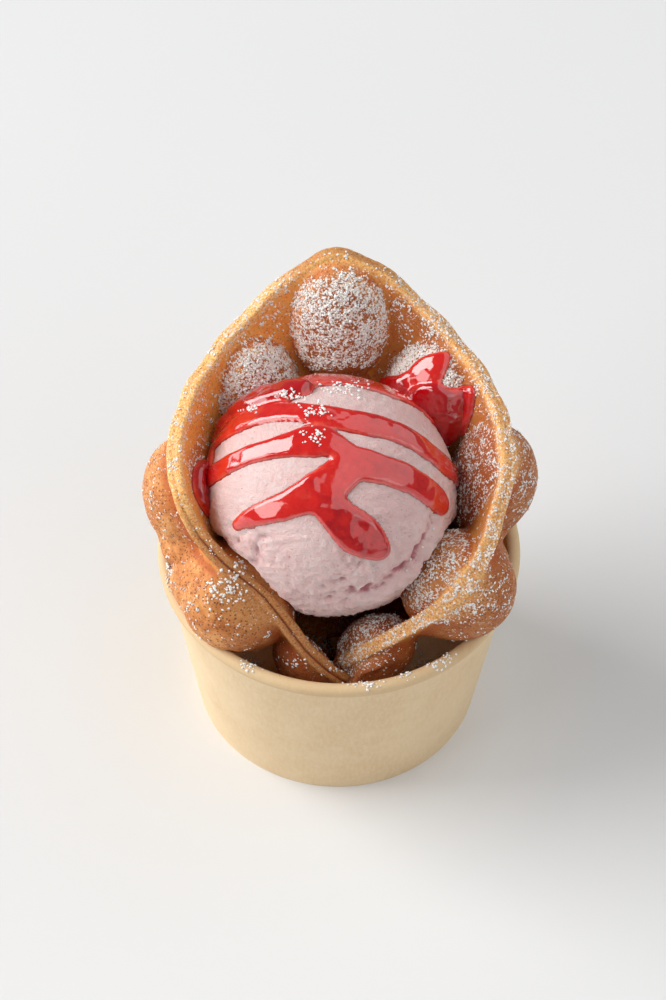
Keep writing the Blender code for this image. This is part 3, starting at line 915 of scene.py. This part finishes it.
def make_scoop(waffle_tree, sauce):
    """Ball of ice cream short of the waffle, and the bands of sauce on it."""
    bm = bmesh.new()
    bmesh.ops.create_icosphere(bm, subdivisions=SCOOP_FINENESS, radius=1.0)
    directions = np.array([vertex.co.normalized()[:] for vertex in bm.verts])
    faces = np.array([[vertex.index for vertex in face.verts] for face in bm.faces])
    edges = np.array([[vertex.index for vertex in edge.verts] for edge in bm.edges])
    bm.free()
    centre = np.array(SCOOP_CENTRE)
    ball = directions * np.array(SCOOP_RADII)
    length = np.linalg.norm(ball, axis=-1)
    length = length + 0.45 * MM * field_noise(ball, 16.0 * MM, 1.0)
    space = np.full(len(length), 1.0)
    for index, (direction, reach) in enumerate(zip(directions.tolist(), length.tolist())):
        hit = waffle_tree.ray_cast(SCOOP_CENTRE, Vector(direction), 1.3 * reach)[3]
        if hit is not None:
            space[index] = hit - SCOOP_CLEARANCE
    smooth = eased(np.minimum(length, space), edges, 6)
    base = centre + directions * smooth[:, None]
    height = sauce_height(base, ball_tree(), BALL_SAUCE)
    covered = ramp(height, -0.3 * MM, 0.3 * MM)
    relief = scoop_relief(directions, ball, covered)
    reach = eased(np.minimum(smooth + relief, space), edges, 2)
    # How deep each pit or groove is, for its painted shade.
    hollow_shade = ramp(-relief, 0.35 * MM, 1.3 * MM)
    scoop = make_piece("scoop", centre + directions * reach[:, None], faces.tolist(),
                       ice_cream_material(), {"hollow_shade": hollow_shade})
    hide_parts("ice_cream")
    height = np.minimum(height, space - smooth + 0.35 * MM)
    return scoop, make_sauce("sauce_bands", base, directions, faces, height, sauce)


def eased(reach, edges, passes):
    """Reach by direction, with no step steeper than half a millimetre an edge."""
    for _ in range(passes):
        lower = reach.copy()
        np.minimum.at(lower, edges[:, 0], reach[edges[:, 1]] + 0.5 * MM)
        np.minimum.at(lower, edges[:, 1], reach[edges[:, 0]] + 0.5 * MM)
        reach = lower
    return reach


# ==== strawberry sauce

def cast(tree, x, y):
    """Place where the ray through a pixel first meets a tree, or comes nearest to it."""
    start = Vector(camera_place())
    ray = pixel_ray(x, y)
    place = tree.ray_cast(start, ray)[0]
    if place is not None:
        return place
    along = [CAMERA_DISTANCE + step * 2.0 * MM for step in range(-40, 20)]
    nearest = [tree.find_nearest(start + ray * reach) for reach in along]
    return min(nearest, key=lambda found: found[3])[0]


def ball_tree():
    """Tree of the plain ball that the sauce's stations are found on."""
    bm = bmesh.new()
    bmesh.ops.create_icosphere(bm, subdivisions=BALL_FINENESS, radius=1.0)
    for vertex in bm.verts:
        vertex.co = Vector(co * size for co, size in zip(vertex.co, SCOOP_RADII)) + SCOOP_CENTRE
    tree = BVHTree.FromBMesh(bm)
    bm.free()
    return tree


def smooth_run(tree, stations):
    """Dense centres and half widths along a smooth curve through the stations."""
    knots = np.array([[*cast(tree, x, y), half * MM] for x, y, half in stations])
    ahead = 2.0 * knots[:1] - knots[1:2]
    beyond = 2.0 * knots[-1:] - knots[-2:-1]
    padded = np.concatenate([ahead, knots, beyond])
    samples = []
    for before, start, end, after in zip(padded, padded[1:], padded[2:], padded[3:]):
        count = max(2, int(np.linalg.norm(end[:3] - start[:3]) / RUN_SPACING))
        for part in np.arange(count) / count:
            samples.append(0.5 * (
                2.0 * start + (end - before) * part
                + (2.0 * before - 5.0 * start + 4.0 * end - after) * part ** 2
                + (3.0 * start - before - 3.0 * end + after) * part ** 3
            ))
    samples.append(knots[-1])
    return np.array(samples)


def sauce_height(points, tree, runs):
    """Height of the sauce over each point; it falls below zero away from every run."""
    uneven = layered_noise(points, (0.3, 4.5, 12.0), (0.06, 1.4, 14.0))
    inside = np.full(len(points), -1.0)
    thickness = np.zeros(len(points))
    for run_thickness, stations in runs.values():
        reach = np.full(len(points), -1.0)
        for sample in smooth_run(tree, stations):
            offset = points - sample[:3]
            reach = np.maximum(reach, sample[3] - np.sqrt(np.einsum("ij,ij->i", offset, offset)))
        share = ramp(reach - inside, -1.5 * MM, 1.5 * MM)
        thickness = thickness * (1.0 - share) + run_thickness * MM * share
        inside = smooth_max(inside, reach, SAUCE_BLEND)
    inside = inside + uneven * MM
    share = np.clip(inside / SAUCE_EDGE, 0.0, 1.0)
    wavy = 1.0 + layered_noise(points, (0.16, 3.4, 16.0), (0.05, 1.3, 18.0))
    rise = thickness * np.sqrt(1.0 - (1.0 - share) ** 2) * wavy
    return np.where(inside > 0.0, rise, np.maximum(inside, -SAUCE_DIVE))


def sauce_material():
    nodes = Nodes("strawberry_sauce")
    depth = nodes.attribute("depth")
    cloud = nodes.noise(2.6, detail=4.0, roughness=0.6)
    seeds = nodes.cells(1.9)
    level = nodes.math("ADD", depth, nodes.ramp(cloud, 0.3, 0.7, -0.14, 0.14))
    base = nodes.tint(srgb(230, 86, 70), level, 0.05, 0.5, (210, 28, 22))
    base = nodes.tint(base, level, 0.5, 0.9, (176, 2, 14))
    # Painted shade: darker red along the sauce's thin edges.
    base = nodes.tint(base, depth, 0.26, 0.08, (150, 8, 16), 0.8)
    base = nodes.tint(base, seeds, 0.13, 0.05, (120, 10, 14), 0.5)
    rough = nodes.ramp(cloud, 0.3, 0.7, 0.05, 0.12)
    return nodes.finish(
        base, rough, Normal=nodes.bumps((cloud, 0.12, 0.25)), Subsurface_Weight=0.25,
        Subsurface_Radius=(1.0, 0.15, 0.1), Subsurface_Scale=1.5 * MM,
        Specular_IOR_Level=0.75, Coat_Weight=1.0, Coat_Roughness=0.04,
    )


def closed_shell(faces, count):
    """Top faces, mirrored bottom faces and the walls that join their open edges."""
    sides = set()
    for face in faces.tolist():
        for a, b in zip(face, face[1:] + face[:1]):
            if (b, a) in sides:
                sides.remove((b, a))
            else:
                sides.add((a, b))
    bottom = faces[:, ::-1] + count
    walls = [(b, a, a + count, b + count) for a, b in sorted(sides)]
    return faces.tolist() + bottom.tolist() + walls


def make_sauce(name, base, normals, faces, height, material):
    """Closed pool of sauce over a base surface, with its depth as an attribute."""
    covered = (height[faces] > -SAUCE_DIVE * SAUCE_BOUNDARY).any(axis=1)
    used, kept = np.unique(faces[covered], return_inverse=True)
    kept = kept.reshape(-1, faces.shape[1])
    top = base[used] + normals[used] * height[used][:, None]
    under = base[used] - normals[used] * SAUCE_UNDER
    depth = np.clip(height[used] / (2.0 * MM), 0.0, 1.0)
    return make_piece(
        name, np.concatenate([top, under]), closed_shell(kept, len(used)), material,
        {"depth": np.concatenate([depth, depth])},
    )


def finer_grid(grid):
    """Grid resampled PATCH_FINENESS times finer in both directions and eased."""
    for axis in (0, 1):
        count = grid.shape[axis]
        places = np.linspace(0.0, count - 1.0, (count - 1) * PATCH_FINENESS + 1)
        low = np.minimum(places.astype(int), count - 2)
        share = np.expand_dims(places - low, (1 - axis, 2))
        grid = np.take(grid, low, axis) * (1.0 - share) + np.take(grid, low + 1, axis) * share
    for _ in range(PATCH_PASSES):
        grid[1:-1, 1:-1] = averaged(grid)
    return grid


def make_wall_sauce(inner, tree, material):
    """Pools of sauce that lie on the waffle's inner face."""
    pools = []
    for name, runs in WALL_SAUCE.items():
        stations = np.concatenate([smooth_run(tree, run[1]) for run in runs.values()])
        near = np.zeros(inner.shape[:2], bool)
        for sample in stations[::4]:
            near |= np.linalg.norm(inner - sample[:3], axis=-1) < sample[3] + PATCH_MARGIN
        columns = np.nonzero(near.any(axis=1))[0]
        rows = np.nonzero(near.any(axis=0))[0]
        patch = finer_grid(inner[columns[0]:columns[-1] + 1, rows[0]:rows[-1] + 1])
        normals = unit(np.cross(np.gradient(patch, axis=1), np.gradient(patch, axis=0)))
        count = patch.shape[1]
        start = np.arange(patch.shape[0] * count).reshape(-1, count)[:-1, :-1].ravel()
        faces = np.stack([start + 1, start + count + 1, start + count, start], -1)
        base = patch.reshape(-1, 3)
        height = sauce_height(base, tree, runs)
        pools.append(make_sauce(name, base, normals.reshape(-1, 3), faces, height, material))
    return pools


# ==== icing sugar

def sugar_material():
    nodes = Nodes("icing_sugar")
    tone = nodes.noise(0.6, detail=2.0)
    base = nodes.mix_colour(tone, srgb(252, 249, 244), srgb(255, 254, 251))
    bump = nodes.bumps((nodes.noise(0.12), 0.03, 0.5))
    return nodes.finish(
        base, nodes.ramp(tone, 0.3, 0.7, 0.6, 0.8), Normal=bump, Subsurface_Weight=0.2,
        Subsurface_Radius=(1.0, 1.0, 1.0), Subsurface_Scale=0.3 * MM,
    )


def read(items, key, width, kind=float):
    """Array of one property of a mesh's items."""
    values = np.empty(len(items) * width, kind)
    items.foreach_get(key, values)
    return values.reshape(-1, width)


def surface_samples(piece, tries, random, attribute):
    """Random places on a piece by area: points, normals and the attribute's value there."""
    mesh = piece.data
    mesh.calc_loop_triangles()
    corners = read(mesh.loop_triangles, "vertices", 3, np.int32)
    points = read(mesh.vertices, "co", 3) - CUP_AXIS
    value = read(mesh.attributes[attribute].data, "value", 1, np.float32)[:, 0]
    a, b, c = (points[corners[:, k]] for k in range(3))
    normal = np.cross(b - a, c - a)
    area = np.linalg.norm(normal, axis=1)
    chosen = random.choice(len(corners), tries, p=area / area.sum())
    u = random.random((tries, 2))
    flip = u.sum(axis=1) > 1.0
    u[flip] = 1.0 - u[flip]
    place = a[chosen] + (b - a)[chosen] * u[:, :1] + (c - a)[chosen] * u[:, 1:]
    normal = normal[chosen] / np.maximum(area[chosen], 1e-12)[:, None]
    return place, normal, value[corners[chosen]].mean(axis=1)


def open_above(points, normals, trees):
    """Whether nothing shields each point from the sifted sugar."""
    free = []
    for point, normal in zip(points.tolist(), normals.tolist()):
        start = Vector(point) + Vector(normal) * 0.3 * MM
        free.append(all(tree.ray_cast(start, Vector(SIFTED_FROM))[0] is None for tree in trees))
    return np.array(free)


def make_grains(name, places, normals, spread, random, material):
    """One mesh of small uneven octahedra lying on the given places."""
    count = len(places)
    smallest, more, power = spread
    sizes = (smallest + more * random.random(count) ** power) * MM
    corners = np.array([
        [1, 0, 0], [0, 1, 0], [-1, 0, 0], [0, -1, 0], [0, 0, 1], [0, 0, -1],
    ], float)
    triangles = np.array([
        [0, 1, 4], [1, 2, 4], [2, 3, 4], [3, 0, 4], [1, 0, 5], [2, 1, 5], [3, 2, 5], [0, 3, 5],
    ])
    helper = np.where(np.abs(normals[:, 2:]) < 0.9, [[0.0, 0.0, 1.0]], [[1.0, 0.0, 0.0]])
    first = unit(np.cross(normals, helper))
    second = np.cross(normals, first)
    turn = random.random(count) * math.pi
    across = first * np.cos(turn)[:, None] + second * np.sin(turn)[:, None]
    along = np.cross(normals, across)
    uneven = 0.65 + 0.7 * random.random((count, 6))
    local = corners[None] * uneven[..., None] * (sizes[:, None, None] * np.array(GRAIN_SHAPE))
    points = (
        places[:, None] + normals[:, None] * sizes[:, None, None] * 0.35
        + local[..., :1] * across[:, None] + local[..., 1:2] * along[:, None]
        + local[..., 2:] * normals[:, None]
    )
    faces = triangles[None] + 6 * np.arange(count)[:, None, None]
    return make_piece(name, points.reshape(-1, 3), faces.reshape(-1, 3).tolist(), material)


def make_sugar(waffle, trees, material):
    """Icing sugar sifted over the waffle, in patches, where nothing is in its way."""
    random = np.random.default_rng(SUGAR_SEED)
    places, normals, dust = surface_samples(waffle, SUGAR_TRIES, random, "dust")
    wanted = dust * np.clip((normals @ SIFTED_FROM + 0.05) / 0.5, 0.0, 1.0)
    likely = wanted > 0.02
    places, normals, wanted = places[likely], normals[likely], wanted[likely]
    patches = layered_noise(places, (1.0, 1.5, 21.0), (0.5, 5.0, 23.0))
    wanted = np.minimum(wanted, 1.0)
    keep = patches + 0.12 * random.standard_normal(len(patches)) > 0.62 - 0.9 * wanted
    keep &= random.random(len(patches)) < 0.3 + 0.7 * wanted
    places, normals = places[keep], normals[keep]
    free = open_above(places, normals, trees)
    make_grains("icing_sugar", places[free], normals[free], SUGAR_SIZES, random, material)


def make_crumbs(trees, material):
    """Clusters of larger crumbs on whatever each pixel of them shows."""
    random = np.random.default_rng(CRUMB_SEED)
    start = Vector(camera_place())
    places = []
    normals = []
    for x, y, spread_x, spread_y, count in CRUMB_CLUSTERS:
        offsets = random.standard_normal((count, 2)) * (spread_x, spread_y)
        for offset_x, offset_y in offsets.tolist():
            ray = pixel_ray(x + offset_x, y + offset_y)
            hits = [tree.ray_cast(start, ray) for tree in trees]
            hits = [hit for hit in hits if hit[0] is not None]
            if not hits:
                continue
            place, normal = min(hits, key=lambda hit: hit[3])[:2]
            if normal.z > CRUMB_STEEPEST:
                places.append(place[:])
                normals.append(normal[:])
    places, normals = np.array(places), np.array(normals)
    make_grains("sugar_crumbs", places, normals, CRUMB_SIZES, random, material)


make_camera()
make_studio()
cup = make_cup()
waffle, inner_face = make_waffle()
waffle_tree = tree_of(waffle)
sauce = sauce_material()
scoop, bands = make_scoop(waffle_tree, sauce)
pools = make_wall_sauce(inner_face, waffle_tree, sauce)
scoop_tree = tree_of(scoop)
sugar = sugar_material()
make_sugar(waffle, (waffle_tree, scoop_tree), sugar)
trees = [waffle_tree, scoop_tree] + [tree_of(piece) for piece in (cup, bands, *pools)]
make_crumbs(trees, sugar)
